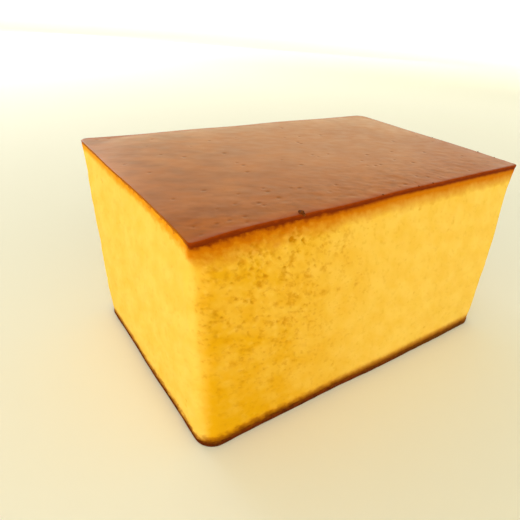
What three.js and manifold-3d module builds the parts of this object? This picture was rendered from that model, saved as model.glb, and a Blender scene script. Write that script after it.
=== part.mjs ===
// A block of castella, the Japanese honey sponge cake. It is baked in a wooden frame, so its top
// carries one thin brown skin and its base a darker one, and it is cut from the loaf with a knife,
// so its four sides are bare crumb. It is one solid of one piece: the skins show as a lip round the
// top and a band round the base, and the largest bubbles of the crumb are cut into the sides.
// Millimetres, +Z up, origin on the table under the middle of the cake. X runs along the length.
import * as THREE from "three";
import { mergeVertices } from "three/addons/utils/BufferGeometryUtils.js";
import Module from "manifold-3d";

const LENGTH = 122; // over the top skin, along X
const DEPTH = 77; // over the top skin, along Y
const HEIGHT = 65.2; // table to the highest part of the skin

const SKIN = 1.2; // thickness of the top skin where the knife went through it
const SKIN_LIP = 0.14; // how far the skin stands out over the crumb
const SKIN_ROUND = 0.22; // how much of that edge is rounded off
const BASE = 2; // thickness of the baked base
const BASE_LIP = 0.15;
const STEP_HEIGHT = 0.5; // height over which a lip runs back into the crumb
const BULGE = 0.2; // how far the soft crumb swells out halfway up

const FRONT_LEAN = 2; // degrees: the front cut runs out towards the base
const FRONT_TWIST = 1.4; // degrees more than that at its right end, and less at its left one
const BACK_LEAN = 0.4;
const END_LEAN = -1.2; // both end cuts run in towards the base

// The upright edges: the radius that each has in the skin, and how much wider it gets below, where
// the bare crumb has rubbed away in some stretches more than in others.
const CORNER_RADII = { frontLeft: 0.7, frontRight: 1, backLeft: 2.6, backRight: 4 };
const CORNER_WEAR = { frontLeft: 4.7, frontRight: 2.4, backLeft: 1.6, backRight: 0.5 };
const WEAR_MIDDLE = { frontLeft: 30, frontRight: 20, backLeft: 30, backRight: 45 }; // most worn height
const WEAR_LENGTH = 32; // from the middle of one worn stretch to the next
const LEAST_WEAR = 0.7; // share of that wear which the soundest stretches have
const WEAR_DEPTH = 7; // how far below the skin the wear has grown to its full width
const FOOT_WEAR = 2.4; // at the table every upright edge is rounder again by this much
const FOOT_REACH = 5; // height over which that wear dies away
const CORNER_FACETS = 3; // from the middle of an edge's rounding to each side: one flat, the rest round
const EDGE_DROP = 0.45; // the top skin lies this much lower along its edges than in the middle
const EDGE_POWER = 6; // how close to the edge that fall stays
const FRONT_LEFT_DROP = 0.7; // and this much lower again at the front left corner
const FRONT_LEFT_REACH = 7;
const SWELL = 0.15; // long low waves of the skin
const SWELL_LENGTH = { x: 15, y: 12, fineX: 7, fineY: 9 };
const SWELL_SHIFT = { x: 0.6, y: -0.4 };

const CUT_WAVE = 0.28; // waves that the knife left in the sides
const CUT_LENGTH = { along: 13, up: 17, fineAlong: 5.5, fineUp: 8 };
const CUT_LONG_SHARE = 0.7; // share of the knife's waves that are long ones
const CUT_SHIFT = { front: 0.3, back: 3.9, left: 1.1, right: 2.7 }; // where each side's waves start
const SIDE_POWER = 12; // how close to its side a wave stays

const CELL = 5.6; // width of a facet on the sides and the top
const WIDEST_CORNER = 5.6; // the square in which an upright edge is rounded
const SAME_POINT = 1e-4; // vertices closer than this are one

const BUBBLES = 150;
const BUBBLE_RADIUS = { least: 0.5, most: 1.05 };
const BUBBLE_SINK = 0.25; // share of its radius that a bubble's centre lies inside the cut
const BUBBLE_CLEAR = 0.8; // least crumb left between two bubbles
const BUBBLE_MARGIN = 3.4; // bubbles keep this far from the skins and the upright edges
const BUBBLE_WIDTH = { least: 0.7, most: 1 }; // a bubble's width and height, as shares of its length
const BUBBLE_HEIGHT = { least: 0.75, most: 1.05 };
const BUBBLE_TRIES = 40; // places tried for each bubble wanted
const BUBBLE_SEED = 29;

const halfLength = LENGTH / 2;
const halfDepth = DEPTH / 2;
const slope = (degrees) => Math.tan(THREE.MathUtils.degToRad(degrees));

// The positions of the facets' edges across one width: even cells, with finer ones in the corners.
function cutsAcross(half) {
  const inner = half - WIDEST_CORNER;
  const cells = Math.round((2 * inner) / CELL);
  const cuts = [];
  for (let i = 0; i <= cells; i++) cuts.push(-inner + (2 * inner * i) / cells);
  for (let i = 1; i <= CORNER_FACETS; i++) {
    const reach = inner + (WIDEST_CORNER * i) / CORNER_FACETS;
    cuts.push(reach);
    cuts.unshift(-reach);
  }
  return cuts;
}

// The heights of the facets' edges: close together at the two skins, even between them.
function cutsUp() {
  const low = BASE + STEP_HEIGHT;
  const high = HEIGHT - SKIN - STEP_HEIGHT;
  const cells = Math.round((high - low) / CELL);
  const cuts = [0, BASE];
  for (let i = 0; i <= cells; i++) cuts.push(low + ((high - low) * i) / cells);
  cuts.push(HEIGHT - SKIN, HEIGHT - SKIN_ROUND, HEIGHT);
  return cuts;
}

// How far a side stands out at height z, before its lean and the knife's waves.
function standOut(z) {
  if (z >= HEIGHT) return SKIN_LIP - SKIN_ROUND;
  if (z >= HEIGHT - SKIN) return SKIN_LIP;
  if (z <= BASE) return BASE_LIP;
  const share = (z - BASE) / (HEIGHT - SKIN - BASE);
  return BULGE * Math.sin(Math.PI * share);
}

// How far the skin lies below its highest part, over the point x, y.
function drop(x, y) {
  const edge = Math.min(1, (x / halfLength) ** EDGE_POWER + (y / halfDepth) ** EDGE_POWER);
  const toCorner = Math.hypot(x + halfLength, y + halfDepth);
  const corner = Math.exp(-((toCorner / FRONT_LEFT_REACH) ** 2));
  const alongX = Math.sin(x / SWELL_LENGTH.x + SWELL_SHIFT.x);
  const alongY = Math.cos(y / SWELL_LENGTH.y + SWELL_SHIFT.y);
  const fine = Math.sin(x / SWELL_LENGTH.fineX - y / SWELL_LENGTH.fineY);
  const waves = (alongX * alongY + fine) / 2;
  return EDGE_DROP * edge + FRONT_LEFT_DROP * corner + SWELL * (1 + waves);
}

// The knife's waves on a side, at the place along it and the height z.
function knife(along, z, shift) {
  const long = Math.sin(along / CUT_LENGTH.along + shift) * Math.cos(z / CUT_LENGTH.up + shift);
  const fine = Math.sin(along / CUT_LENGTH.fineAlong - z / CUT_LENGTH.fineUp + 2 * shift);
  return CUT_WAVE * (CUT_LONG_SHARE * long + (1 - CUT_LONG_SHARE) * fine);
}

// The radius of an upright edge at the height z.
function edgeRadius(corner, z) {
  const wave = 0.5 + 0.5 * Math.cos((2 * Math.PI * (z - WEAR_MIDDLE[corner])) / WEAR_LENGTH);
  const depth = Math.min(1, Math.max(0, HEIGHT - SKIN - z) / WEAR_DEPTH);
  const worn = CORNER_WEAR[corner] * depth * (LEAST_WEAR + (1 - LEAST_WEAR) * wave);
  const foot = FOOT_WEAR * Math.exp(-z / FOOT_REACH);
  return Math.min(WIDEST_CORNER, CORNER_RADII[corner] + worn + foot);
}

// A point of the corner's outline, half of which has the radius round its 45 degree line. The share
// runs from 0 at the end of the corner's square to 1 at that line. The first facet is the flat one.
function cornerOutline(share, radius) {
  const flat = WIDEST_CORNER - radius;
  const flatShare = 1 / CORNER_FACETS;
  if (share <= flatShare) return [WIDEST_CORNER, (flat * share) / flatShare];
  const turn = (Math.PI / 4) * ((share - flatShare) / (1 - flatShare));
  return [flat + radius * Math.cos(turn), flat + radius * Math.sin(turn)];
}

// Rounds the upright edges: the outline of each corner's square turns into a true round, and the
// rings inside it follow at their own scale.
function roundPlan(x, y, z) {
  const radius = edgeRadius((y < 0 ? "front" : "back") + (x < 0 ? "Left" : "Right"), z);
  const across = Math.abs(x) - (halfLength - WIDEST_CORNER);
  const along = Math.abs(y) - (halfDepth - WIDEST_CORNER);
  if (across <= 0 || along <= 0) return [x, y];
  const reach = Math.max(across, along);
  const [far, near] = cornerOutline(Math.min(across, along) / reach, radius);
  const scale = reach / WIDEST_CORNER;
  return [
    Math.sign(x) * (halfLength - WIDEST_CORNER + scale * (across > along ? far : near)),
    Math.sign(y) * (halfDepth - WIDEST_CORNER + scale * (across > along ? near : far)),
  ];
}

// Where the point x, y, z of a true square block lies on the cake.
function settle(squareX, squareY, z) {
  const [x, y] = roundPlan(squareX, squareY, z);
  const endShare = Math.sign(x) * Math.abs(x / halfLength) ** SIDE_POWER;
  const sideShare = Math.sign(y) * Math.abs(y / halfDepth) ** SIDE_POWER;
  const out = standOut(z);
  const below = HEIGHT - z;
  const frontShare = 0.5 - y / DEPTH;
  const fall = drop(x, y);
  const moved = new THREE.Vector3();
  moved.x = x * (1 + (out + below * slope(END_LEAN)) / halfLength);
  moved.x += endShare * knife(y, z, x < 0 ? CUT_SHIFT.left : CUT_SHIFT.right);
  moved.y = y * (1 + out / halfDepth);
  moved.y -= frontShare * below * slope(FRONT_LEAN + (FRONT_TWIST * x) / halfLength);
  moved.y += (1 - frontShare) * below * slope(BACK_LEAN);
  moved.y += sideShare * knife(x, z, y < 0 ? CUT_SHIFT.front : CUT_SHIFT.back);
  moved.z = z * (1 - fall / HEIGHT);
  return moved;
}

function blockGeometry() {
  const cuts = [cutsAcross(halfLength), cutsAcross(halfDepth), cutsUp()];
  const cells = cuts.map((list) => list.length - 1);
  const geometry = new THREE.BoxGeometry(1, 1, 1, ...cells);
  geometry.deleteAttribute("normal");
  geometry.deleteAttribute("uv");
  const position = geometry.getAttribute("position");
  for (let i = 0; i < position.count; i++) {
    const place = [position.getX(i), position.getY(i), position.getZ(i)];
    const square = place.map((value, axis) => cuts[axis][Math.round((value + 0.5) * cells[axis])]);
    position.setXYZ(i, ...settle(...square));
  }
  return mergeVertices(geometry, SAME_POINT);
}

// A repeatable random number from 0 to 1.
function makeRandom(seed) {
  let state = seed;
  return () => {
    state = (state * 1664525 + 1013904223) % 4294967296;
    return state / 4294967296;
  };
}

// The bubbles that the knife opened: small faceted balls, stretched and turned, on the four sides.
function bubbleGeometries() {
  const random = makeRandom(BUBBLE_SEED);
  const between = (low, high) => low + (high - low) * random();
  const within = (range) => between(range.least, range.most);
  const placed = [];
  const made = [];
  const sides = [
    { run: LENGTH, place: (a, z) => settle(a, -halfDepth, z), in: new THREE.Vector3(0, 1, 0) },
    { run: LENGTH, place: (a, z) => settle(a, halfDepth, z), in: new THREE.Vector3(0, -1, 0) },
    { run: DEPTH, place: (a, z) => settle(-halfLength, a, z), in: new THREE.Vector3(1, 0, 0) },
    { run: DEPTH, place: (a, z) => settle(halfLength, a, z), in: new THREE.Vector3(-1, 0, 0) },
  ];
  const girth = 2 * (LENGTH + DEPTH);
  for (const side of sides) {
    const wanted = Math.round((BUBBLES * side.run) / girth);
    const reach = side.run / 2 - WIDEST_CORNER - BUBBLE_MARGIN / 2;
    for (let found = 0, tries = 0; found < wanted && tries < BUBBLE_TRIES * wanted; tries++) {
      const small = random() ** 2; // most bubbles are near the least radius
      const { least, most } = BUBBLE_RADIUS;
      const radius = least + (most - least) * small;
      const centre = side.place(
        between(-reach, reach),
        between(BASE + BUBBLE_MARGIN, HEIGHT - SKIN - BUBBLE_MARGIN),
      );
      centre.addScaledVector(side.in, radius * BUBBLE_SINK);
      const free = placed.every(
        (other) => other.centre.distanceTo(centre) > other.radius + radius + BUBBLE_CLEAR,
      );
      if (!free) continue;
      placed.push({ centre, radius });
      found += 1;
      const ball = new THREE.IcosahedronGeometry(radius, 0);
      ball.deleteAttribute("normal");
      ball.deleteAttribute("uv");
      ball.scale(1, within(BUBBLE_WIDTH), within(BUBBLE_HEIGHT));
      ball.rotateX(between(0, Math.PI));
      ball.rotateY(between(0, Math.PI));
      ball.rotateZ(between(0, Math.PI));
      ball.translate(centre.x, centre.y, centre.z);
      made.push(mergeVertices(ball, SAME_POINT));
    }
  }
  return made;
}

const wasm = await Module();
wasm.setup();

function solidFrom(geometry) {
  const vertProperties = geometry.getAttribute("position").array;
  const triVerts = new Uint32Array(geometry.index.array);
  return new wasm.Manifold(new wasm.Mesh({ numProp: 3, vertProperties, triVerts }));
}

// Cuts every bubble out of the block and sets the result over the origin.
function castellaGeometry() {
  let solid = solidFrom(blockGeometry());
  for (const bubble of bubbleGeometries()) solid = solid.subtract(solidFrom(bubble));
  const mesh = solid.getMesh();
  const geometry = new THREE.BufferGeometry();
  geometry.setAttribute("position", new THREE.BufferAttribute(mesh.vertProperties, 3));
  geometry.setIndex(new THREE.BufferAttribute(mesh.triVerts, 1));
  geometry.computeBoundingBox();
  const middle = geometry.boundingBox.getCenter(new THREE.Vector3());
  geometry.translate(-middle.x, -middle.y, -geometry.boundingBox.min.z);
  geometry.computeVertexNormals();
  return geometry;
}

const sponge = new THREE.MeshStandardMaterial({
  name: "sponge",
  color: 0xf6c244,
  roughness: 0.85,
  metalness: 0,
});

const castella = new THREE.Mesh(castellaGeometry(), sponge);
castella.name = "castella";

const group = new THREE.Group();
group.name = "castella_cake";
group.add(castella);

export default group;
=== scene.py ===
import math

import bmesh
import bpy
import numpy as np
from mathutils import Matrix, Vector, noise


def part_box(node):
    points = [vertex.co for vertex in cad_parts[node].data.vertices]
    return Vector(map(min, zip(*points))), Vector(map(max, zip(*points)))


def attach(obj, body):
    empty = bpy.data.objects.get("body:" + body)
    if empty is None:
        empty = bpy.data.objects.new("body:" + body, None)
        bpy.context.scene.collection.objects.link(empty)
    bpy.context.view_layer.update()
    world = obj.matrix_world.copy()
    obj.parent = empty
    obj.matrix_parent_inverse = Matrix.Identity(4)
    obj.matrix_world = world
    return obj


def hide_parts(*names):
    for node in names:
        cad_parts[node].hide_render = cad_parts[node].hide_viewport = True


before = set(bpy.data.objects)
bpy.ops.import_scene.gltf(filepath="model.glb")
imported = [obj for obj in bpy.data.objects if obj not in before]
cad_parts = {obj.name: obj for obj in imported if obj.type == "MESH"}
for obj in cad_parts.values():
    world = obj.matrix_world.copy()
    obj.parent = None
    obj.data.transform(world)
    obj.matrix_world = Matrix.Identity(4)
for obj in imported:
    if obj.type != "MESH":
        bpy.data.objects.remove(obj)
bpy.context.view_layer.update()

# ---------------------------------------------------------------------------------- viewpoint
# The camera stands off the front left corner and looks down on the cake, a little tilted,
# close enough that the near corner looks much taller than the far one. Places are in millimetres.
MM = 0.001

CAMERA_PLACE = (-93.1, -108.0, 104.9)
CAMERA_TURN = -39.26  # degrees round Z from looking along +Y
CAMERA_DOWN = 31.08  # degrees below the horizon
CAMERA_ROLL = 5.32
CAMERA_LENS = 30.42  # for a sensor 36 wide
CAMERA_SHIFT = (-0.0577, 0.0231)
CAMERA_REACH = (0.005, 20)  # metres to the nearest and the farthest thing that it shows

camera_data = bpy.data.cameras.new("viewpoint")
camera_data.lens = CAMERA_LENS
camera_data.shift_x, camera_data.shift_y = CAMERA_SHIFT
camera_data.clip_start, camera_data.clip_end = CAMERA_REACH
camera = bpy.data.objects.new("viewpoint", camera_data)
camera.matrix_world = (
    Matrix.Translation(Vector(CAMERA_PLACE) * MM)
    @ Matrix.Rotation(math.radians(CAMERA_TURN), 4, "Z")
    @ Matrix.Rotation(math.radians(90 - CAMERA_DOWN), 4, "X")
    @ Matrix.Rotation(math.radians(CAMERA_ROLL), 4, "Z")
)
bpy.context.scene.collection.objects.link(camera)
bpy.context.scene.camera = camera

# ---------------------------------------------------------------------------------- crumb
# The sponge: egg, sugar, flour and honey, baked in a deep wooden frame and cut on four sides
# with a long knife. The cut opens thousands of fine pores and a few larger bubbles. The crumb is
# toasted amber for a few millimetres under the top skin, and brown for one or two over the base.
SKIN = 1.2  # how thick it is
SKIN_LIP = 0.14  # how far it stands out beyond the cut crumb
THIN_SKIN_LEFT = 0.4  # share of its thickness that the skin's cut edge lacks along the left end
BASE = 2.0
BASE_LIP = 0.15
THIN_BASE_LEFT = 0.45
BULGE = 0.2  # how far the crumb swells out at half its height
LIPS_AND_WAVES = np.array([0.66, 4.41, -0.05])  # what lips, leans and waves add to the cut size

cake_low, cake_high = (np.array(corner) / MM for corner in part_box("castella"))
length, depth, height = cake_high - cake_low - LIPS_AND_WAVES
half_length = length / 2
half_depth = depth / 2
girth = 2 * (length + depth)

FRONT_LEAN = 2.0  # degrees
FRONT_TWIST = 1.4
BACK_LEAN = 0.4
END_LEAN = -1.2
EDGE_DROP = 0.45
FRONT_LEFT_DROP = 0.7
FRONT_LEFT_REACH = 7
DROP_POWER = 6  # the higher, the nearer to its rim the top turns down
SWELL = 0.15
CUT_WAVE = 0.28
SIDE_POWER = 12  # the higher, the nearer to a side its waves set in

CORNERS = {  # side of X and of Y: radius in the skin, extra width of the wear, most worn height
    (-1, -1): (0.7, 4.7, 30),
    (1, -1): (1.0, 2.4, 20),
    (-1, 1): (2.6, 1.6, 30),
    (1, 1): (4.0, 0.5, 45),
}
WEAR_LENGTH = 32
LEAST_WEAR = 0.7
WEAR_DEPTH = 7
FOOT_WEAR = 2.4
FOOT_REACH = 5
WIDEST_CORNER = 5.6
SHARPEST_CORNER = 0.4


def slope(degrees):
    return np.tan(np.radians(degrees))


def drop(x, y):
    """How far the skin lies below its highest part. Shallow waves, centimetres long, cross it."""
    edge = np.minimum(1, (x / half_length) ** DROP_POWER + (y / half_depth) ** DROP_POWER)
    corner = np.exp(-(((x + half_length) ** 2 + (y + half_depth) ** 2) / FRONT_LEFT_REACH**2))
    waves = np.sin(x / 15 + 0.6) * np.cos(y / 12 - 0.4) + np.sin(x / 7 - y / 9)
    return EDGE_DROP * edge + FRONT_LEFT_DROP * corner + SWELL * (1 + waves / 2)


def knife(along, z, shift):
    """The waves that the knife left in a side. Each shift gives another side's."""
    long_wave = np.sin(along / 13 + shift) * np.cos(z / 17 + shift)
    return CUT_WAVE * (0.7 * long_wave + 0.3 * np.sin(along / 5.5 - z / 8 + 2 * shift))


def edge_radius(x, y, z):
    """The radius of the upright edge nearest to each point, at its height."""
    deep = np.clip((height - SKIN - z) / WEAR_DEPTH, 0, 1)
    radius = FOOT_WEAR * np.exp(-z / FOOT_REACH)
    for (right, back), (in_skin, worn, middle_height) in CORNERS.items():
        wave = 0.5 + 0.5 * np.cos(2 * np.pi * (z - middle_height) / WEAR_LENGTH)
        here = in_skin + worn * deep * (LEAST_WEAR + (1 - LEAST_WEAR) * wave)
        radius = radius + here * (np.sign(x) == right) * (np.sign(y) == back)
    return radius


def round_plan(x, y, z, wear):
    """Rounds the upright edges of the square plan. Wear is an extra radius."""
    radius = np.clip(np.minimum(edge_radius(x, y, z), WIDEST_CORNER) + wear, SHARPEST_CORNER, None)
    across = np.abs(x) - (half_length - radius)
    along = np.abs(y) - (half_depth - radius)
    pull = np.maximum(across, along) / np.maximum(np.hypot(across, along), 1e-9)
    pull = np.where((across > 0) & (along > 0), pull, 1)
    new_x = half_length - radius + across * pull
    new_y = half_depth - radius + along * pull
    return np.sign(x) * new_x, np.sign(y) * new_y


def settle(square_x, square_y, z, out, wear=0.0):
    """Where points of a true square block lie on the cake, out millimetres outside its cut."""
    x, y = round_plan(square_x, square_y, z, wear)
    end_share = np.sign(x) * np.abs(x / half_length) ** SIDE_POWER
    side_share = np.sign(y) * np.abs(y / half_depth) ** SIDE_POWER
    below = height - z
    front_share = 0.5 - y / depth
    front_slope = slope(FRONT_LEAN + FRONT_TWIST * x / half_length)
    place = np.empty(np.broadcast(x, z).shape + (3,))
    place[..., 0] = x * (1 + (out + below * slope(END_LEAN)) / half_length)
    place[..., 0] += end_share * knife(y, z, np.where(x < 0, 1.1, 2.7))
    place[..., 1] = y * (1 + out / half_depth)
    place[..., 1] += below * ((1 - front_share) * slope(BACK_LEAN) - front_share * front_slope)
    place[..., 1] += side_share * knife(x, z, np.where(y < 0, 0.3, 3.9))
    place[..., 2] = z * (1 - drop(x, y) / height)
    return place


def walk(distance):
    """The point of the square plan at that distance from its front left corner, the front first."""
    s = distance % girth
    turns = [0, length, length + depth, 2 * length + depth, girth]
    x = np.interp(s, turns, [-half_length, half_length, half_length, -half_length, -half_length])
    y = np.interp(s, turns, [-half_depth, -half_depth, half_depth, half_depth, -half_depth])
    return x, y


RIM_POINTS = 4000  # where the widest places of the skin and of the base are looked for

rim_x, rim_y = walk(np.linspace(0, girth, RIM_POINTS))
rim = np.concatenate([
    settle(rim_x, rim_y, np.full(rim_x.shape, height - SKIN), SKIN_LIP),
    settle(rim_x, rim_y, np.zeros(rim_x.shape), BASE_LIP),
])
middle = (rim.min(axis=0) + rim.max(axis=0)) / 2
to_frame = np.append(((cake_low + cake_high) / 2 - middle)[:2], 0.0)  # onto the frame's origin


def ripple(points, size, shift=0.0):
    """Smooth noise from about -1 to 1 at the points, in waves of that size. Each shift gives another."""
    flat = (np.asarray(points) / np.array(size) + shift).reshape(-1, 3)
    values = np.array([noise.noise(Vector(point)) for point in flat])
    return values.reshape(np.asarray(points).shape[:-1])


def unevenness(points, height_and_size, shift=0.0):
    """The same noise, of that height and in waves of that size."""
    high, size = height_and_size
    return high * ripple(points, size, shift)


def make_piece(name, points, faces, values):
    """A smooth mesh piece in the frame, with one named number per vertex for each of the values."""
    mesh = bpy.data.meshes.new(name)
    mesh.from_pydata(((points + to_frame) * MM).tolist(), [], faces)
    for value_name, numbers in values.items():
        attribute = mesh.attributes.new(value_name, "FLOAT", "POINT")
        attribute.data.foreach_set("value", np.asarray(numbers, np.float32).ravel())
    mesh.polygons.foreach_set("use_smooth", [True] * len(mesh.polygons))
    mesh.update()
    piece = bpy.data.objects.new(name, mesh)
    bpy.context.scene.collection.objects.link(piece)
    return piece


CRUMB_STEP = 0.55  # between two points of the cut surface
STRAY = 0.22  # how far a point may stray from its place, as a share of that
GRAIN = 0.02  # the finest roughness of the cut
CELL_HEIGHT = 0.06  # of the soft ups and downs
CELL_SIZE = 1.3
TUG = (0.12, 3.2)  # where the knife tugged the crumb: how far, in waves of what size
EDGE_WEAR = (0.8, 7.0)  # how unevenly the upright edges crumbled, given in the same way
CELL_LEAN = (0.38, 0.47)  # the batter crept as it set, so its cells lean along X and along Y
CELL_WIDTH = (1.11, 1.35, 1.0)
PORE_DEPTH = 0.46
FEW_DEEP = 2.6  # the higher, the fewer of the pores are deep
APART, CROWDED = 0.5, 1.2  # depth of pores that stand apart, and what is added in a crowd
CROWD_SIZE = 5.0
DEEP_PORE = 0.4  # share of the greatest depth from which a pore has a wide rim
WIDE_RIM = 0.4  # share of the pore's depth that such a rim has
RIM_SIZE = 0.7  # of the waves in which that share varies
BUBBLE_COUNT = 260
BUBBLE_RADIUS = (0.5, 1.0)  # most are nearer to the smaller one
BUBBLE_DEPTH = (0.25, 0.5)  # as a share of the radius
BUBBLE_FREE = (2, 3)  # how much of the crumb has none, at its foot and at its head
HOLLOW_FLOOR = 0.7  # the lower, the flatter the floor of a bubble and the steeper its rim
LEAST_HOLLOW = 0.4  # share of its depth that a bubble has in the finest crumb
COARSE_PLACE = (19, 56)  # middle of the coarsest crumb: along the front from its near edge, height
COARSE_REACH = (24, 40)
LEAST_COARSE = 0.2
BACK_COARSE = 0.5  # what the right end and the back have more than that
BACK_PATCHES = (0.6, 16.0)  # how patchy that is, in patches of what size
BACK_BLEND = (3, 10)  # between what distances from their outer corners that sets in
CLOSE_CRUMB = 2.2  # how far under the skin the crumb is closer than below
CLOSEST = 0.25  # share of its coarseness that it has right under the skin
TORN = [  # torn spots under the skin of the front: place along X, height, radius, depth
    (-45.1, 59.9, 0.9, 0.45), (-38.4, 61.4, 1.1, 0.5), (-35.7, 59.3, 0.9, 0.7),
    (-34.6, 58.7, 0.7, 0.6), (-32.2, 58.4, 0.7, 0.6), (-48.9, 56.5, 1.2, 0.4),
    (-43.9, 49.3, 1.2, 0.4), (-35.5, 52.5, 0.8, 0.35), (-46.4, 54.4, 0.8, 0.4),
]
dice = np.random.default_rng(17)

columns = round(girth / CRUMB_STEP)
crumb_foot = BASE / 4
crumb_head = height - SKIN / 2
rows = round((crumb_head - crumb_foot) / (CRUMB_STEP * math.sqrt(0.75))) + 1
row_number, column_number = np.mgrid[0:rows, 0:columns]
odd_row = row_number % 2 == 1
crumb_shape = (rows, columns)
inner_row = (row_number > 0) & (row_number < rows - 1)
stray = STRAY * CRUMB_STEP * dice.uniform(-1, 1, (2, rows, columns)) * inner_row
crumb_along = (column_number + 0.5 * (row_number % 2)) * girth / columns + stray[0]
crumb_up = crumb_foot + row_number * (crumb_head - crumb_foot) / (rows - 1) + stray[1]

crumb_x, crumb_y = walk(crumb_along)
leaning_up = crumb_up + CELL_LEAN[0] * crumb_x + CELL_LEAN[1] * crumb_y
rough_place = np.stack([crumb_x, crumb_y, leaning_up], axis=-1) / CELL_WIDTH
share_up = np.clip((crumb_up - BASE) / (height - SKIN - BASE), 0, 1)
wear = unevenness(rough_place, EDGE_WEAR, 3.1) * np.sin(math.pi * share_up)
crumb_points = settle(crumb_x, crumb_y, crumb_up, BULGE * np.sin(math.pi * share_up), wear)


def neighbours(values):
    """The values of the six points round each point of the crumb's lattice, two in each row."""
    around = [np.roll(values, 1, axis=1), np.roll(values, -1, axis=1)]
    for step in (1, -1):
        level = np.roll(values, step, axis=0)
        beside = np.where(odd_row, np.roll(level, -1, axis=1), np.roll(level, 1, axis=1))
        around += [level, beside]
    return around


def ease(share):
    """A smooth step from 0 to 1 as the share runs from 0 to 1."""
    share = np.clip(share, 0, 1)
    return share * share * (3 - 2 * share)


# A pore opens wherever a point's draw is lower than those of the six points round it. The deepest
# ones take the points round them down too, and on the front only those beside, left above and right
# below, because the cells lean.
round_girth = crumb_along % girth
from_near_edge = np.minimum(round_girth, girth - round_girth)
on_front = round_girth < length
off_coarse = np.hypot(
    (from_near_edge - COARSE_PLACE[0]) / COARSE_REACH[0],
    (crumb_up - COARSE_PLACE[1]) / COARSE_REACH[1],
)
coarse = LEAST_COARSE + (1 - LEAST_COARSE) * on_front * np.exp(-(off_coarse**2))
into_back = np.minimum(round_girth - length, 2 * length + depth - round_girth)
back_coarse = BACK_COARSE * ease((into_back - BACK_BLEND[0]) / np.ptp(BACK_BLEND))
coarse += back_coarse * (1 + unevenness(rough_place, BACK_PATCHES, 4.4))
under_skin = height - SKIN - crumb_up
coarse *= CLOSEST + (1 - CLOSEST) * np.clip(under_skin / CLOSE_CRUMB, 0, 1) ** 2
draw = dice.random(crumb_shape)
is_pore = inner_row & (draw < np.min(neighbours(draw), axis=0))
crowding = 0.5 + 0.5 * ripple(rough_place, CROWD_SIZE, 9.7)
pore = is_pore * PORE_DEPTH * dice.random(crumb_shape) ** FEW_DEEP * (APART + CROWDED * crowding)
deep_pore = np.where(pore > DEEP_PORE * PORE_DEPTH, pore, 0)
rim_share = WIDE_RIM * (1 + ripple(rough_place, RIM_SIZE, 2.3))
around = neighbours(deep_pore)
beside_on_left, beside_on_right = around[:2]
right_below = np.where(odd_row, around[3], around[2])
left_above = np.where(odd_row, around[4], around[5])
leaning = [beside_on_left, beside_on_right, right_below, left_above]
rim_depth = np.where(on_front, np.max(leaning, axis=0), np.max(around, axis=0))
pore = np.maximum(pore, rim_share * rim_depth) * coarse

# Larger bubbles are round hollows, a few points wide.
bubble_along = dice.uniform(0, girth, BUBBLE_COUNT)
bubble_up = dice.uniform(crumb_foot + BUBBLE_FREE[0], crumb_head - BUBBLE_FREE[1], BUBBLE_COUNT)
bubble_radius = BUBBLE_RADIUS[0] + np.ptp(BUBBLE_RADIUS) * dice.random(BUBBLE_COUNT) ** 2
bubble_depth = bubble_radius * dice.uniform(*BUBBLE_DEPTH, BUBBLE_COUNT)
hollows = list(zip(bubble_along, bubble_up, bubble_radius, bubble_depth))
hollows += [(x + half_length, z, radius, deep) for x, z, radius, deep in TORN]
hollow = np.zeros(crumb_shape)
for hollow_along, hollow_up, radius, deep in hollows:
    off_along = (crumb_along - hollow_along + girth / 2) % girth - girth / 2
    distance = np.hypot(off_along, crumb_up - hollow_up) / radius
    hollow = np.maximum(hollow, deep * np.clip(1 - distance**2, 0, 1) ** HOLLOW_FLOOR)
hollow *= LEAST_HOLLOW + (1 - LEAST_HOLLOW) * coarse

step_along = np.roll(crumb_points, -1, axis=1) - np.roll(crumb_points, 1, axis=1)
outward = np.stack([step_along[..., 1], -step_along[..., 0]], axis=-1)
outward /= np.linalg.norm(outward, axis=-1, keepdims=True)
cells = ripple(rough_place, CELL_SIZE, 6.6)
relief = coarse * (CELL_HEIGHT * cells + GRAIN * dice.uniform(-1, 1, crumb_shape))
relief += unevenness(rough_place, TUG)
sunk = np.maximum(pore, hollow)
crumb_points[..., :2] += outward * (relief - sunk)[..., None]

crumb_index = np.arange(rows * columns).reshape(crumb_shape)
crumb_faces = []
for row in range(rows - 1):
    low, high = crumb_index[row], crumb_index[row + 1]
    low_next, high_next = np.roll(low, -1), np.roll(high, -1)
    if row % 2 == 0:
        pairs = [(low, low_next, high), (low_next, high_next, high)]
    else:
        pairs = [(low, low_next, high_next), (low, high_next, high)]
    crumb_faces += [face for corners in pairs for face in np.stack(corners, axis=1).tolist()]
foot_middle = rows * columns
head_middle = foot_middle + 1
for column in range(columns):
    after = (column + 1) % columns
    crumb_faces.append([crumb_index[0, after], crumb_index[0, column], foot_middle])
    crumb_faces.append([crumb_index[-1, column], crumb_index[-1, after], head_middle])
centre = settle(np.zeros(2), np.zeros(2), np.array([crumb_foot, crumb_head]), 0.0)

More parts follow.
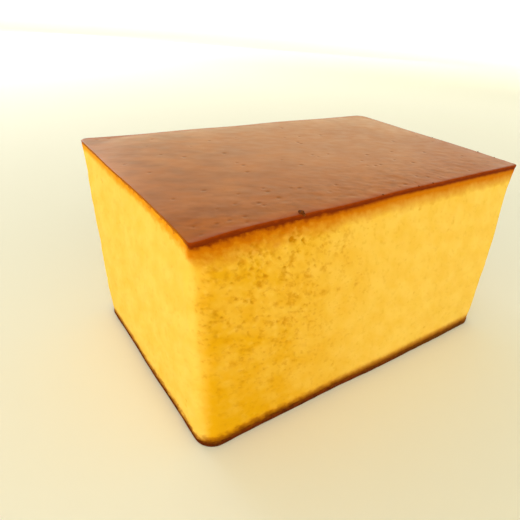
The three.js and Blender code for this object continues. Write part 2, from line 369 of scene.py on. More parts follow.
# The oven's heat reached deepest at the near edge, and unevenly everywhere, but less far in at the
# left end. The front is a deeper yellow towards the near edge and its foot, painted shade where less
# light falls; the near edge itself stays paler, a painted highlight where it turns to the window.
TOAST_REACH = 3.8
TOAST_SWELLS = (0.9, 9.0)  # how unevenly it reached: how much, in waves of what size
TOAST_TEETH = (0.6, 3.0)
DEEP_TOAST = (1.7, 11, 16)  # what is added near the near edge: how much, how far from it, how wide
LEFT_TOAST = 0.38  # share of that reach at the left end
END_BLEND = 3  # from the upright edges of the left end, over which its own looks set in
THIN_FAR = (0.6, 75)  # how much thinner the brown is far from the near edge, and how far
THIN_NEAR = (0.9, 4)  # how much thinner it is at the near edge itself, and how wide that is
EVEN_FAR = (0.7, 70)  # how much less ragged the toast is far from the near edge, and how far
RAGGED_LEFT = 0.5  # how much more ragged it is at the left end
PAINTED_SHADE_REACH = 45
PAINTED_SHADE_HEAD_LESS = 0.25  # how much less of the painted shade the head has than the foot
LIT_EDGE = (-2.0, 2.4)  # along the front from the near edge, where the painted highlight ends and the deeper yellow sets in
LIT_EDGE_WAVES = (1.2, 5.0)  # how unevenly it does so
LIT_EDGE_FOOT = 0.7  # how much sooner it does so at the foot
LIT_EDGE_WIDER = 0.55  # how much more gradually it does so on the lower part
LOWER_PART = (0.8, 0.25)  # share of the height below which that sets in, and over how much of it
on_left_end = ease((round_girth - 2 * length - depth) / END_BLEND) * ease(from_near_edge / END_BLEND)
deeper, deep_place, deep_width = DEEP_TOAST
reach = TOAST_REACH + deeper * np.exp(-(((from_near_edge - deep_place) / deep_width) ** 2))
reach += unevenness(rough_place, TOAST_SWELLS, 5.5) + unevenness(rough_place, TOAST_TEETH, 7.7)
reach *= 1 - (1 - LEFT_TOAST) * on_left_end
thinner = 1 / (1 - THIN_FAR[0] * ease(from_near_edge / THIN_FAR[1]))
thinner += THIN_NEAR[0] * np.exp(-((from_near_edge / THIN_NEAR[1]) ** 2))
raggedness = 1 - EVEN_FAR[0] * ease(from_near_edge / EVEN_FAR[1])
raggedness *= 1 + RAGGED_LEFT * on_left_end
past_lit_edge = np.where(round_girth < girth / 2, from_near_edge, -from_near_edge)
past_lit_edge += unevenness(rough_place, LIT_EDGE_WAVES, 1.9) + LIT_EDGE_FOOT * (1 - share_up)
on_lower_part = ease((LOWER_PART[0] - share_up) / LOWER_PART[1])
past_lit_edge = (past_lit_edge - LIT_EDGE[0]) / (1 + LIT_EDGE_WIDER * on_lower_part)
past_lit_edge = ease(past_lit_edge / np.ptp(LIT_EDGE))
# Painted shade: a deeper yellow towards the near edge and the foot, none on the painted highlight of the
# near edge.
painted_shade = past_lit_edge * np.exp(-((from_near_edge / PAINTED_SHADE_REACH) ** 2)) * (1 - PAINTED_SHADE_HEAD_LESS * share_up)
crumb = make_piece(
    "crumb",
    np.concatenate([crumb_points.reshape(-1, 3), centre]),
    crumb_faces,
    {
        "pore": np.append(sunk / PORE_DEPTH, [0, 0]),
        "cell": np.append(cells * coarse, [0, 0]),
        "coarse": np.append(coarse, [0, 0]),
        "painted_shade": np.append(painted_shade, [0, 0]),
        "ragged": np.append(raggedness, [0, 0]),
        "left_end": np.append(on_left_end, [0, 0]),
        "under_skin": np.append(under_skin * thinner, [0, 0]),
        "toast": np.append(under_skin / reach, [0, 0]),
        "over_base": np.append(crumb_up - BASE * (1 - THIN_BASE_LEFT * on_left_end), [0, 0]),
    },
)


def tone(red, green, blue):
    """A screen colour, 0 to 255, as the renderer's linear one."""
    linear = [
        value / 12.92 if value <= 0.04045 else ((value + 0.055) / 1.055) ** 2.4
        for value in (red / 255, green / 255, blue / 255)
    ]
    return (*linear, 1.0)


def add_node(tree, kind, inputs=None, **settings):
    """A node with its settings, and its inputs set to numbers or linked to other nodes' sockets."""
    node = tree.nodes.new(kind)
    for name, value in settings.items():
        setattr(node, name, value)
    for name, value in (inputs or {}).items():
        if isinstance(value, bpy.types.NodeSocket):
            tree.links.new(value, node.inputs[name])
        else:
            node.inputs[name].default_value = value
    return node


def mottle(tree, size, detail=2.0, stretch=(1, 1, 1), turn=0.0, lean=(0, 0)):
    """Noise fixed to the cake, in patches of about that size in millimetres, longer by the stretch."""
    place = add_node(tree, "ShaderNodeTexCoord").outputs["Object"]
    rise = add_node(tree, "ShaderNodeVectorMath", {0: place, 1: (*lean, 0)}, operation="DOT_PRODUCT")
    place = add_node(
        tree,
        "ShaderNodeVectorMath",
        {0: (0, 0, 1), 1: rise.outputs["Value"], 2: place},
        operation="MULTIPLY_ADD",
    ).outputs["Vector"]
    scaled = add_node(
        tree,
        "ShaderNodeMapping",
        {"Vector": place, "Rotation": (0, 0, turn), "Scale": stretch},
        vector_type="TEXTURE",
    )
    return add_node(
        tree,
        "ShaderNodeTexNoise",
        {"Vector": scaled.outputs[0], "Scale": 1 / (size * MM), "Detail": detail},
    ).outputs["Fac"]


def cell_mottle(tree, size, detail=2.0):
    """The same, drawn out along the crumb's leaning cells."""
    return mottle(tree, size, detail, CELL_WIDTH, lean=CELL_LEAN)


def spread(tree, value, low, high, to_low=0.0, to_high=1.0):
    """Maps a value from low..high to to_low..to_high and holds it there."""
    return add_node(
        tree,
        "ShaderNodeMapRange",
        {"Value": value, "From Min": low, "From Max": high, "To Min": to_low, "To Max": to_high},
    ).outputs["Result"]


MOTTLE_RANGE = (0.3, 0.7)  # nearly all values of a mottle lie between these


def swing(tree, mottled, low, high):
    """A mottle whose values run from low to high."""
    return spread(tree, mottled, *MOTTLE_RANGE, low, high)


def calculate(tree, operation, first, second):
    node = add_node(tree, "ShaderNodeMath", {0: first, 1: second}, operation=operation)
    return node.outputs[0]


def scale_by(tree, value, factor):
    return calculate(tree, "MULTIPLY", value, factor)


def mix(tree, share, first, second):
    node = add_node(tree, "ShaderNodeMix", {0: share, 6: first, 7: second}, data_type="RGBA")
    return node.outputs[2]


def tint(tree, colour, other, value, none_at, full_at, strength=1.0):
    """The colour with the other one over it: none where the value is none_at, most at full_at."""
    return mix(tree, spread(tree, value, none_at, full_at, 0, strength), colour, other)


def surface_value(tree, name):
    return add_node(tree, "ShaderNodeAttribute", attribute_name=name).outputs["Fac"]


def new_material(name, settings):
    """A material of one Principled shader with those constants, ready for its colour and bump."""
    material = bpy.data.materials.new(name)
    material.use_nodes = True
    tree = material.node_tree
    tree.nodes.clear()
    shader = add_node(tree, "ShaderNodeBsdfPrincipled", settings)
    add_node(tree, "ShaderNodeOutputMaterial", {"Surface": shader.outputs[0]})
    return material, tree, shader


def add_relief(tree, shader, height_value, strength, deep):
    bump = add_node(
        tree,
        "ShaderNodeBump",
        {"Height": height_value, "Strength": strength, "Distance": deep * MM},
    )
    tree.links.new(bump.outputs[0], shader.inputs["Normal"])


CREAM_SHEEN = tone(255, 240, 205)
YOLK = tone(229, 187, 84)
HONEY_AND_SHADE = tone(212, 155, 10)
RIDGE_HIGHLIGHT = tone(238, 199, 102)
PORE_SHADE_AND_SMUDGE = tone(187, 125, 0)
AMBER = tone(188, 108, 0)
ORANGE = tone(228, 142, 10)
TOASTED = tone(156, 68, 0)
SINGED = tone(104, 34, 0)
OLIVE_BROWN = tone(114, 60, 0)

sponge, tree, shader = new_material(
    "sponge_crumb",
    {
        "Roughness": 0.8,
        "Specular IOR Level": 0.03,
        "Subsurface Weight": 0.3,
        "Subsurface Radius": (1.0, 0.55, 0.12),
        "Subsurface Scale": 1.2 * MM,
        "Sheen Weight": 0.02,
        "Sheen Roughness": 0.4,
        "Sheen Tint": CREAM_SHEEN,
    },
)
# The yellow is patchy, with darker smudges. It is paler on the ridges of the crumb, a painted highlight,
# and darker in its dips and pores, painted shade that follows the relief.
PATCHINESS = 0.18
LEAST_SMUDGE = 0.55  # value of the mottle from which a smudge shows
deeper_yellow = spread(tree, cell_mottle(tree, 6), 0.35, 0.65, -PATCHINESS, PATCHINESS)
# The front's painted shade is added to the random patches of deeper yellow.
deeper_yellow = calculate(tree, "ADD", surface_value(tree, "painted_shade"), deeper_yellow)
flesh = tint(tree, YOLK, HONEY_AND_SHADE, deeper_yellow, none_at=-0.2, full_at=1.0)
coarse_here = surface_value(tree, "coarse")
cell = surface_value(tree, "cell")
# Painted highlight on the ridges and painted shade in the dips, from the heights of the relief.
flesh = tint(tree, flesh, RIDGE_HIGHLIGHT, cell, none_at=0.1, full_at=0.6, strength=0.2)
flesh = tint(tree, flesh, PORE_SHADE_AND_SMUDGE, cell, none_at=-0.1, full_at=-0.6, strength=0.3)
smudges = calculate(tree, "SUBTRACT", cell_mottle(tree, 1.7), LEAST_SMUDGE)
smudges = calculate(tree, "MULTIPLY", smudges, coarse_here)
flesh = tint(tree, flesh, PORE_SHADE_AND_SMUDGE, smudges, none_at=0, full_at=0.14, strength=0.6)
# Painted shade in the pores and bubbles, darker where they are deeper.
uneven = swing(tree, cell_mottle(tree, 0.8), 0.5, 1.5)
pore_shade_share = calculate(tree, "MULTIPLY", surface_value(tree, "pore"), uneven)
flesh = tint(tree, flesh, PORE_SHADE_AND_SMUDGE, pore_shade_share, none_at=0.1, full_at=1.1)

# The toast fades downwards in ragged bands, amber before brown, and upwards from the base as well.
# At the left end the bands under the skin are pushed up, behind it.
TOAST_RAGS = 0.26  # as a share of the toast's reach
BROWN_RAGS = 0.9
BASE_RAGS = 0.7
PUSHED_UP_LEFT = 2.2
left_end = surface_value(tree, "left_end")
ragged = swing(tree, cell_mottle(tree, 1.6, detail=3), -1, 1)
ragged = calculate(tree, "MULTIPLY", ragged, surface_value(tree, "ragged"))
toast = calculate(tree, "ADD", surface_value(tree, "toast"), scale_by(tree, ragged, TOAST_RAGS))
toast_tone = mix(tree, left_end, AMBER, ORANGE)
flesh = tint(tree, flesh, toast_tone, toast, none_at=1.4, full_at=0.38)
under = calculate(tree, "ADD", surface_value(tree, "under_skin"), scale_by(tree, ragged, BROWN_RAGS))
under = calculate(tree, "ADD", under, scale_by(tree, left_end, PUSHED_UP_LEFT))
flesh = tint(tree, flesh, TOASTED, under, none_at=2.4, full_at=0, strength=0.9)
flesh = tint(tree, flesh, SINGED, under, none_at=1.1, full_at=-0.5, strength=0.9)
over = calculate(tree, "ADD", surface_value(tree, "over_base"), scale_by(tree, ragged, BASE_RAGS))
flesh = tint(tree, flesh, AMBER, over, none_at=3.2, full_at=0.4, strength=0.85)
flesh = tint(tree, flesh, OLIVE_BROWN, over, none_at=2.4, full_at=0, strength=0.95)
tree.links.new(flesh, shader.inputs["Base Color"])
fine_relief = calculate(tree, "MULTIPLY", cell_mottle(tree, 0.8), coarse_here)
add_relief(tree, shader, fine_relief, strength=0.4, deep=0.1)
crumb.data.materials.append(sponge)

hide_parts("castella")
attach(crumb, "root")

# ---------------------------------------------------------------------------------- top skin
# The skin that the oven browned: a thin even layer, soft and slightly sticky with honey, with a
# fine rippled surface from cooling. The knife left its edge sharp and dark, and ragged below
# where it clings to the sponge.
SKIN_STEP = 0.42
SKIN_ROUND = 0.12
CREASES = (0.06, 2.8)  # how high, in waves of what size
FINE_CREASES = (0.035, 1.2)
LEAST_CREASE = 0.12  # share of their height at the back, where the skin is smoothest
CREASE_REACH = 18
CREASE_TURN = math.radians(-23)
CREASE_STRETCH = (1.6, 1, 1)
BLOTCHED_END = 45  # how far from the left end the skin is blotched
LIGHT_RIM_LEFT = 3.0  # how far beyond the left rim the darker brown of the other rims lies
PIT_COUNT = 70
PIT_DEPTH = 0.12
PIT_RADIUS = (0.35, 0.75)
PIT_NARROWER = 0.8  # a pit's width from front to back, over its length along the front
PITS_TO_LEFT = 0.8  # below 1, the lower, the more the pits crowd to the left
PITS_TO_FRONT = 1.8  # above 1, the higher, the more they crowd to the front
PIT_FIELD = 0.95  # share of the top that has them
RAGGED_SKIN = 0.22  # how unevenly the cut edge hangs down
RAGS = (1, 2.2)  # height as a share of that, and size
FINE_RAGS = (0.6, 0.8)
LIP_WAVES = (0.05, 3.5)
TUCK = 0.16  # how far the cut edge draws in at its lower rim
TUCK_POWER = 4  # the higher, the nearer to that rim it does so
SKIN_UNDER = 0.25  # how far above its lower rim the hidden underside lies
HIDDEN_RIM = -1.0  # where the hidden faces start, outside the cut
ON_THE_LEFT = 0.01  # how near to the left end a point of the outline counts as on it
LEFT_BLEND = 3  # from its front corner, over which the left end's thinner edge sets in


def plan_grid(step):
    """Square plan points of a grid over the whole cake, and the indices of its outline in order."""
    across = round(length / step)
    along = round(depth / step)
    y, x = np.meshgrid(
        np.linspace(-half_depth, half_depth, along + 1),
        np.linspace(-half_length, half_length, across + 1),
        indexing="ij",
    )
    index = np.arange(x.size).reshape(x.shape)
    outline = np.concatenate([index[0, :-1], index[:-1, -1], index[-1, :0:-1], index[:0:-1, 0]])
    quads = np.stack([index[:-1, :-1], index[:-1, 1:], index[1:, 1:], index[1:, :-1]], axis=-1)
    return x.ravel(), y.ravel(), outline, quads.reshape(-1, 4)


def belts(first_ring, ring_count, start):
    """Quads between successive rings; the first ring is given, the others are numbered from start."""
    size = len(first_ring)
    faces = []
    upper = np.asarray(first_ring)
    for ring in range(ring_count):
        lower = start + ring * size + np.arange(size)
        corners = [upper, lower, np.roll(lower, -1), np.roll(upper, -1)]
        faces += np.stack(corners, axis=1).tolist()
        upper = lower
    return faces, upper


grid_x, grid_y, skin_outline, skin_quads = plan_grid(SKIN_STEP)
skin_top = settle(grid_x, grid_y, np.full(grid_x.shape, height), SKIN_LIP - SKIN_ROUND)

turned = skin_top @ np.array(Matrix.Rotation(CREASE_TURN, 3, "Z")) / np.array(CREASE_STRETCH)
from_front = grid_y + half_depth
crease_here = LEAST_CREASE + (1 - LEAST_CREASE) * np.exp(-((from_front / CREASE_REACH) ** 2))
crease = crease_here * (unevenness(turned, CREASES) + unevenness(turned, FINE_CREASES, 5.3))
pit = np.zeros(len(grid_x))
pit_x = half_length * (1 - 2 * dice.random(PIT_COUNT) ** PITS_TO_LEFT) * PIT_FIELD
pit_y = half_depth * (2 * dice.random(PIT_COUNT) ** PITS_TO_FRONT - 1) * PIT_FIELD
pit_radius = dice.uniform(*PIT_RADIUS, PIT_COUNT)
for x, y, radius in zip(pit_x, pit_y, pit_radius):
    distance = np.hypot((grid_x - x) * PIT_NARROWER, grid_y - y) / radius
    pit = np.maximum(pit, np.clip(1 - distance**2, 0, 1))
skin_top[:, 2] += crease - PIT_DEPTH * pit
blotched = np.exp(-(((grid_x + half_length) / BLOTCHED_END) ** 2))
left_rim = LIGHT_RIM_LEFT * ease(-grid_x / half_length)
inset = np.minimum(half_length - np.abs(grid_x) + left_rim, half_depth - np.abs(grid_y))

ring_x, ring_y = grid_x[skin_outline], grid_y[skin_outline]
ring_place = skin_top[skin_outline]
ring_left = (ring_x < -half_length + ON_THE_LEFT) * ease((ring_y + half_depth) / LEFT_BLEND)
thickness = SKIN * (1 - THIN_SKIN_LEFT * ring_left)
hang = RAGGED_SKIN * (unevenness(ring_place, RAGS, 1.7) + unevenness(ring_place, FINE_RAGS, 4.1))
lip_wave = unevenness(ring_place, LIP_WAVES, 8.8)
skin_rings = []
edge_share = []
for angle in (45, 90):
    turn = math.radians(angle)
    out = SKIN_LIP - SKIN_ROUND * (1 - math.sin(turn)) + lip_wave * math.sin(turn)
    skin_rings.append((out, SKIN_ROUND * (1 - math.cos(turn))))
    edge_share.append(angle / 90)
for share in (0.4, 0.75, 1.0):
    skin_rings.append((SKIN_LIP + lip_wave - TUCK * share**TUCK_POWER, share * (thickness + hang)))
    edge_share.append(1 + share)
skin_rings.append((HIDDEN_RIM, thickness - SKIN_UNDER))
edge_share.append(2.0)

skin_points = [skin_top]
for out, below in skin_rings:
    ring = settle(ring_x, ring_y, height - below + 0 * ring_x, out)
    ring[:, 2] += crease[skin_outline]
    skin_points.append(ring)
skin_points.append(settle(np.zeros(1), np.zeros(1), np.array([height - SKIN + SKIN_UNDER]), 0.0))
skin_points = np.concatenate(skin_points)
skin_belts, last_ring = belts(skin_outline, len(skin_rings), len(grid_x))
under_fan = [
    [int(last_ring[i]), len(skin_points) - 1, int(last_ring[(i + 1) % len(last_ring)])]
    for i in range(len(last_ring))
]
not_on_top = len(skin_points) - len(grid_x)
left_share = np.concatenate([0 * grid_x, np.tile(ring_left, len(skin_rings)), [0.0]])
top_skin = make_piece(
    "top_skin",
    skin_points,
    skin_quads.tolist() + skin_belts + under_fan,
    {
        "edge": np.concatenate([0 * grid_x, np.repeat(edge_share, len(ring_x)), [2.0]]),
        "left_share": left_share,
        "inset": np.append(inset, np.zeros(not_on_top)),
        "creased": np.append(crease_here, np.zeros(not_on_top)),
        "blotched": np.append(blotched, np.zeros(not_on_top)),
        "pit": np.append(pit, np.zeros(not_on_top)),
    },
)

BROWN = tone(173, 92, 27)
TAN = tone(183, 102, 37)
DEEP_BROWN_AND_PIT_SHADE = tone(128, 63, 20)
RUST = tone(174, 79, 6)
CUT_BROWN = tone(114, 40, 0)
CUT_RED = tone(144, 56, 2)
CUT_AMBER = tone(168, 96, 2)
STREAKED = 0.5  # strength of the dark streaks
BLOTCHED = 0.45
RIM_RAGS = 0.7  # how unevenly the darker rim runs
SKIN_ROUGHNESS = (0.39, 0.48)
SMOOTH_RIM = (4, -0.1)  # width of the smoother rim, and how much smoother it is
DULL_BRINK = (0.8, 0.4)  # width of the dull brink, and how much rougher it is


def skin_mottle(tree, size, detail=2.0):
    """A mottle drawn out along the creases of the skin."""
    return mottle(tree, size, detail, CREASE_STRETCH, CREASE_TURN)


browned, tree, shader = new_material(
    "browned_skin",
    {"Specular IOR Level": 0.42, "Subsurface Weight": 0.08, "Subsurface Scale": 0.8 * MM},
)
creased = surface_value(tree, "creased")
inset_here = surface_value(tree, "inset")
shade = tint(tree, BROWN, TAN, mottle(tree, 14, detail=3), none_at=0.35, full_at=0.65)
streaks = spread(tree, skin_mottle(tree, 1.6, detail=4), 0.45, 0.72)
streaks = calculate(tree, "MULTIPLY", streaks, creased)
shade = mix(tree, scale_by(tree, streaks, STREAKED), shade, DEEP_BROWN_AND_PIT_SHADE)
blotches = spread(tree, skin_mottle(tree, 6), 0.42, 0.66)
blotches = calculate(tree, "MULTIPLY", blotches, surface_value(tree, "blotched"))
shade = mix(tree, scale_by(tree, blotches, BLOTCHED), shade, DEEP_BROWN_AND_PIT_SHADE)
rim_ragged = swing(tree, mottle(tree, 2.5, detail=3), -RIM_RAGS, RIM_RAGS)
dark_rim = calculate(tree, "ADD", inset_here, rim_ragged)
shade = tint(tree, shade, RUST, dark_rim, none_at=3.2, full_at=0, strength=0.9)
shade = tint(tree, shade, CUT_RED, dark_rim, none_at=1.2, full_at=-0.4, strength=0.85)
# The pits are darker by their depth: painted shade.
pit_here = surface_value(tree, "pit")
shade = tint(tree, shade, DEEP_BROWN_AND_PIT_SHADE, pit_here, none_at=0.2, full_at=1, strength=0.7)
shade = tint(tree, shade, CUT_RED, surface_value(tree, "edge"), none_at=0.1, full_at=1)
tree.links.new(shade, shader.inputs["Base Color"])
roughness = swing(tree, skin_mottle(tree, 2.8), *SKIN_ROUGHNESS)
smooth_rim = spread(tree, inset_here, 0, SMOOTH_RIM[0], SMOOTH_RIM[1], 0)
smooth_rim = calculate(tree, "MULTIPLY", smooth_rim, creased)
roughness = calculate(tree, "ADD", roughness, smooth_rim)
dull_brink = spread(tree, inset_here, 0, DULL_BRINK[0], DULL_BRINK[1], 0)
tree.links.new(calculate(tree, "ADD", roughness, dull_brink), shader.inputs["Roughness"])
ripples = calculate(tree, "MULTIPLY", skin_mottle(tree, 1.4), creased)
add_relief(tree, shader, ripples, strength=0.35, deep=0.08)
top_skin.data.materials.append(browned)

# Where the knife went through it the skin is dull, dark and dry, darkest at its lower rim. At the
# left end it is paler.
CUT_RAGS = 0.3  # how unevenly the darker part runs
PALER_LEFT = 0.8
cut_skin, tree, shader = new_material("cut_skin", {"Roughness": 0.9, "Specular IOR Level": 0.05})
cut_ragged = swing(tree, mottle(tree, 1.8, detail=3), -CUT_RAGS, CUT_RAGS)
low_edge = calculate(tree, "ADD", surface_value(tree, "edge"), cut_ragged)
cut_tone = tint(tree, CUT_RED, CUT_BROWN, low_edge, none_at=0.7, full_at=1.5)
paler = scale_by(tree, surface_value(tree, "left_share"), PALER_LEFT)
cut_tone = mix(tree, paler, cut_tone, CUT_AMBER)
tree.links.new(cut_tone, shader.inputs["Base Color"])
add_relief(tree, shader, mottle(tree, 0.6, detail=3), strength=0.4, deep=0.08)
top_skin.data.materials.append(cut_skin)
is_cut = np.zeros(len(top_skin.data.polygons), np.int32)
is_cut[len(skin_quads):] = 1
top_skin.data.polygons.foreach_set("material_index", is_cut)

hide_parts("castella")
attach(top_skin, "root")

# ---------------------------------------------------------------------------------- edge crumbs
# Browned crumbs that the knife dragged up and left on the rim of the skin. The largest sits on the
# front edge, and a few much finer ones lie along the rim.
LARGEST_CRUMB = (28.0, 0.85)  # distance along the front from the near corner, radius
FINE_CRUMBS = 6
FINE_CRUMB_RADIUS = (0.15, 0.3)
FINE_CRUMB_PLACE = (0.12, 0.78)  # between what shares of the girth they lie
LUMPS = (0.5, 0.8)  # height and size, as shares of a crumb's radius
CRUMB_SIDES = (0.75, 1.15)  # least and greatest half width, as a share of its radius
CRUMB_INSET = 0.6  # how far in from the rim its middle lies, as a share of its radius
CRUMB_SINK = 0.5  # how deep a crumb sits in the skin, as a share of its radius

ball = bmesh.new()
bmesh.ops.create_icosphere(ball, subdivisions=3, radius=1)
ball_points = np.array([vertex.co[:] for vertex in ball.verts])
ball_faces = np.array([[vertex.index for vertex in face.verts] for face in ball.faces])
ball.free()

spots = [LARGEST_CRUMB]
fine_spots = girth * dice.uniform(*FINE_CRUMB_PLACE, FINE_CRUMBS)
spots += list(zip(fine_spots, dice.uniform(*FINE_CRUMB_RADIUS, FINE_CRUMBS)))
loose_points = []
loose_faces = []
for number, (spot, radius) in enumerate(spots):
    spot_x, spot_y = walk(np.array([spot]))
    seat = settle(spot_x, spot_y, np.array([height]), -CRUMB_INSET * radius)[0]
    lumps = 1 + unevenness(ball_points, LUMPS, 3.3 * number)
    shape = ball_points * lumps[:, None] * radius * dice.uniform(*CRUMB_SIDES, 3)
    loose_faces += (ball_faces + len(ball_points) * number).tolist()
    loose_points.append(seat + shape + [0, 0, (1 - 2 * CRUMB_SINK) * radius])
edge_crumbs = make_piece("edge_crumbs", np.concatenate(loose_points), loose_faces, {})

CRUMB_BROWN = tone(84, 36, 4)
CRUMB_GOLD = tone(128, 66, 6)

crusty, tree, shader = new_material("browned_crumbs", {"Roughness": 0.8, "Specular IOR Level": 0.1})
golden = mottle(tree, 0.7, detail=3)
shade = tint(tree, CRUMB_BROWN, CRUMB_GOLD, golden, none_at=0.45, full_at=0.75)
tree.links.new(shade, shader.inputs["Base Color"])
add_relief(tree, shader, mottle(tree, 0.3, detail=3), strength=0.5, deep=0.08)
edge_crumbs.data.materials.append(crusty)

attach(edge_crumbs, "root")

# ---------------------------------------------------------------------------------- baked base
# The base that baked on paper at the bottom of the frame: dark brown, dry and matt, a firm band
# under the crumb with a crisp lower edge and an upper one that fades into the sponge.
BASE_STEP = 0.6
BASE_ROUND = 0.3
RAGGED_BASE = 0.38  # how unevenly its upper rim runs
FRAY = (1, 3.0)  # height as a share of that, and size
FINE_FRAY = (0.7, 0.9)
BASE_WAVES = (0.08, 4.0)
BASE_UNDER = 0.35  # how far below its upper rim the hidden top face lies
BASE_LEFT_BLEND = 6  # from its front corner, over which the left end's thinner band sets in
FAR_END = (60, 0.3)  # in X: how long the change to the far end's tone is, and its share at 0
PAPER_CREASE = 0.05
PAPER_CREASE_SIZE = (7.0, 3.0, 1.0)
PAPER_RIM = 4  # width of the rim where the creases fade out

grid_x, grid_y, base_outline, base_quads = plan_grid(BASE_STEP)
base_under = settle(grid_x, grid_y, np.zeros(grid_x.shape), BASE_LIP - BASE_ROUND)
from_rim = np.minimum(half_length - np.abs(grid_x), half_depth - np.abs(grid_y))
inner = np.clip(from_rim / PAPER_RIM, 0, 1)
base_under[:, 2] = PAPER_CREASE * inner * (1 + ripple(base_under, PAPER_CREASE_SIZE, 2.2))

ring_x, ring_y = grid_x[base_outline], grid_y[base_outline]
ring_place = base_under[base_outline]
fray = RAGGED_BASE * (unevenness(ring_place, FRAY, 6.1) + unevenness(ring_place, FINE_FRAY, 2.9))
base_left = (ring_x < -half_length + ON_THE_LEFT) * ease((ring_y + half_depth) / BASE_LEFT_BLEND)
band = (BASE + fray) * (1 - THIN_BASE_LEFT * base_left)
base_wave = unevenness(ring_place, BASE_WAVES, 7.3)
base_rings = []
for angle in (30, 60, 90):
    turn = math.radians(angle)
    out = BASE_LIP - BASE_ROUND * (1 - math.sin(turn)) + base_wave * math.sin(turn)
    base_rings.append((out, BASE_ROUND * (1 - math.cos(turn))))
for share in (0.45, 0.75, 1.0):
    base_rings.append((BASE_LIP + base_wave - TUCK * share**TUCK_POWER, share * band))
base_rings.append((HIDDEN_RIM, band - BASE_UNDER))

base_points = [base_under]
for out, above in base_rings:
    base_points.append(settle(ring_x, ring_y, above + 0 * ring_x, out))
base_points.append(settle(np.zeros(1), np.zeros(1), np.array([BASE - BASE_UNDER]), 0.0))
base_points = np.concatenate(base_points)
base_belts, last_ring = belts(base_outline, len(base_rings), len(grid_x))
over_fan = [
    [int(last_ring[i]), len(base_points) - 1, int(last_ring[(i + 1) % len(last_ring)])]
    for i in range(len(last_ring))
]
rise = np.concatenate([np.zeros(len(grid_x)), base_points[len(grid_x):, 2] / BASE])
far_end = ease(base_points[:, 0] / FAR_END[0] + FAR_END[1])
base_faces = [face[::-1] for face in base_quads.tolist() + base_belts + over_fan]
base_skin = make_piece("base_skin", base_points, base_faces, {"rise": rise, "far_end": far_end})

ROASTED = tone(104, 40, 2)
ROASTED_DARK = tone(72, 28, 1)
ROASTED_PALE = tone(122, 66, 4)
ROASTED_OLIVE = tone(92, 50, 2)
OLIVE_FAR = 0.85  # share of the olive tone at the far end
PALE_RAGS = 0.3  # how unevenly the paler rim runs

roasted, tree, shader = new_material("roasted_base", {"Roughness": 0.9, "Specular IOR Level": 0.05})
darker = mottle(tree, 3.5, detail=4)
shade = tint(tree, ROASTED, ROASTED_DARK, darker, none_at=0.35, full_at=0.65)
olive = scale_by(tree, surface_value(tree, "far_end"), OLIVE_FAR)
shade = mix(tree, olive, shade, ROASTED_OLIVE)
pale_ragged = swing(tree, mottle(tree, 1.2, detail=3), -PALE_RAGS, PALE_RAGS)
paling = calculate(tree, "ADD", surface_value(tree, "rise"), pale_ragged)
shade = tint(tree, shade, ROASTED_PALE, paling, none_at=0.6, full_at=1.2)
tree.links.new(shade, shader.inputs["Base Color"])
add_relief(tree, shader, mottle(tree, 0.7, detail=4), strength=0.6, deep=0.15)
base_skin.data.materials.append(roasted)

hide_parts("castella")
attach(base_skin, "root")

# ---------------------------------------------------------------------------------- table
# A round cream table, far wider than the cake, that bends up all round into a wall of the same
# cream. It is no part of the cake. Away from the cake it glows, as if the far room were lit.
# Its sizes and those of the lights are in metres.
FLAT_RINGS = (0.3, 1.0)
FLAT_RADIUS = 2.6
BEND_RADIUS = 0.9
WALL_HEIGHT = 0.15
TABLE_SIDES = 96
BEND_STEPS = 14
CREAM = tone(240, 238, 238)
FAR_LIGHT = tone(252, 255, 235)
TABLE_GLOW = (0.06, 0.6, 0, 0.19)  # two distances from the middle of the cake, and the glow at each
WALL_GLOW = (0.8, 3.2, 0, 1.3)  # and what is added to it further off

profile = [(radius, 0.0) for radius in (*FLAT_RINGS, FLAT_RADIUS)]
for step in range(1, BEND_STEPS + 1):
    turn = math.radians(90 * step / BEND_STEPS)
    profile.append((
        FLAT_RADIUS + BEND_RADIUS * math.sin(turn),
        BEND_RADIUS * (1 - math.cos(turn)),
    ))
profile.append((FLAT_RADIUS + BEND_RADIUS, WALL_HEIGHT))
turns = [2 * math.pi * side / TABLE_SIDES for side in range(TABLE_SIDES)]
table_points = [(r * math.cos(turn), r * math.sin(turn), z) for r, z in profile for turn in turns]
table_faces = [list(range(TABLE_SIDES))]
for ring in range(len(profile) - 1):
    for side in range(TABLE_SIDES):
        after = (side + 1) % TABLE_SIDES
        inside, outside = ring * TABLE_SIDES, (ring + 1) * TABLE_SIDES
        table_faces.append([inside + side, outside + side, outside + after, inside + after])
table_mesh = bpy.data.meshes.new("table")
table_mesh.from_pydata(table_points, [], table_faces)
table_mesh.polygons.foreach_set("use_smooth", [True] * len(table_faces))
table = bpy.data.objects.new("table", table_mesh)
bpy.context.scene.collection.objects.link(table)
table_cream, tree, shader = new_material(
    "table_cream",
    {
        "Base Color": CREAM,
        "Roughness": 0.9,
        "Specular IOR Level": 0.1,
        "Emission Color": FAR_LIGHT,
    },
)
table_place = add_node(tree, "ShaderNodeTexCoord").outputs["Object"]
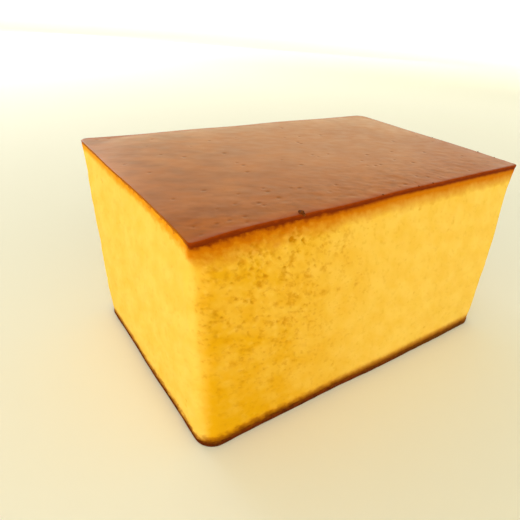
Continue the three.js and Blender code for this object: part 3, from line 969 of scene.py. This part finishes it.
far_off = add_node(tree, "ShaderNodeVectorMath", {0: table_place}, operation="LENGTH")
far_off = far_off.outputs["Value"]
glow = calculate(tree, "ADD", spread(tree, far_off, *TABLE_GLOW), spread(tree, far_off, *WALL_GLOW))
tree.links.new(glow, shader.inputs["Emission Strength"])
table.data.materials.append(table_cream)

# ---------------------------------------------------------------------------------- light
# Daylight from a wide window off the cake's left end and, weaker, from the front, a low pale glow
# from behind that gives the skin its sheen, and a bright cream room all round.
ROOM_CREAM = (1.0, 0.943, 0.62, 1.0)
ROOM_STRENGTH = 0.606
LIGHTS = {  # compass azimuth from +Y, elevation, distance, width, height, watts, colour
    "window": (253, 12, 1.1, 1.3, 0.5, 4.6, (1.0, 0.93, 0.57)),
    "front": (190, 31, 1.1, 0.8, 0.5, 2.7, (1.0, 0.99, 0.73)),
    "behind_left": (-6, 10, 1.2, 0.5, 0.3, 5.8, (0.87, 0.93, 1.0)),
    "behind_right": (29, 6, 1.2, 1.2, 0.22, 1.5, (1.0, 0.9, 0.35)),
}
AIM = Vector((0, 0, 0.05))

world = bpy.data.worlds.new("room")
world.use_nodes = True
room = world.node_tree.nodes["Background"]
room.inputs["Color"].default_value = ROOM_CREAM
room.inputs["Strength"].default_value = ROOM_STRENGTH
bpy.context.scene.world = world

for name, (azimuth, elevation, distance, width, tall, watts, colour) in LIGHTS.items():
    lamp = bpy.data.lights.new(name, "AREA")
    lamp.shape = "RECTANGLE"
    lamp.size, lamp.size_y = width, tall
    lamp.energy = watts
    lamp.color = colour
    lamp_object = bpy.data.objects.new(name, lamp)
    off_x = math.sin(math.radians(azimuth)) * math.cos(math.radians(elevation))
    off_y = math.cos(math.radians(azimuth)) * math.cos(math.radians(elevation))
    offset = Vector((off_x, off_y, math.sin(math.radians(elevation)))) * distance
    lamp_object.location = AIM + offset
    lamp_object.rotation_euler = (-offset).to_track_quat("-Z", "Y").to_euler()
    lamp_object.visible_camera = False
    bpy.context.scene.collection.objects.link(lamp_object)

bpy.context.scene.view_settings.view_transform = "Standard"
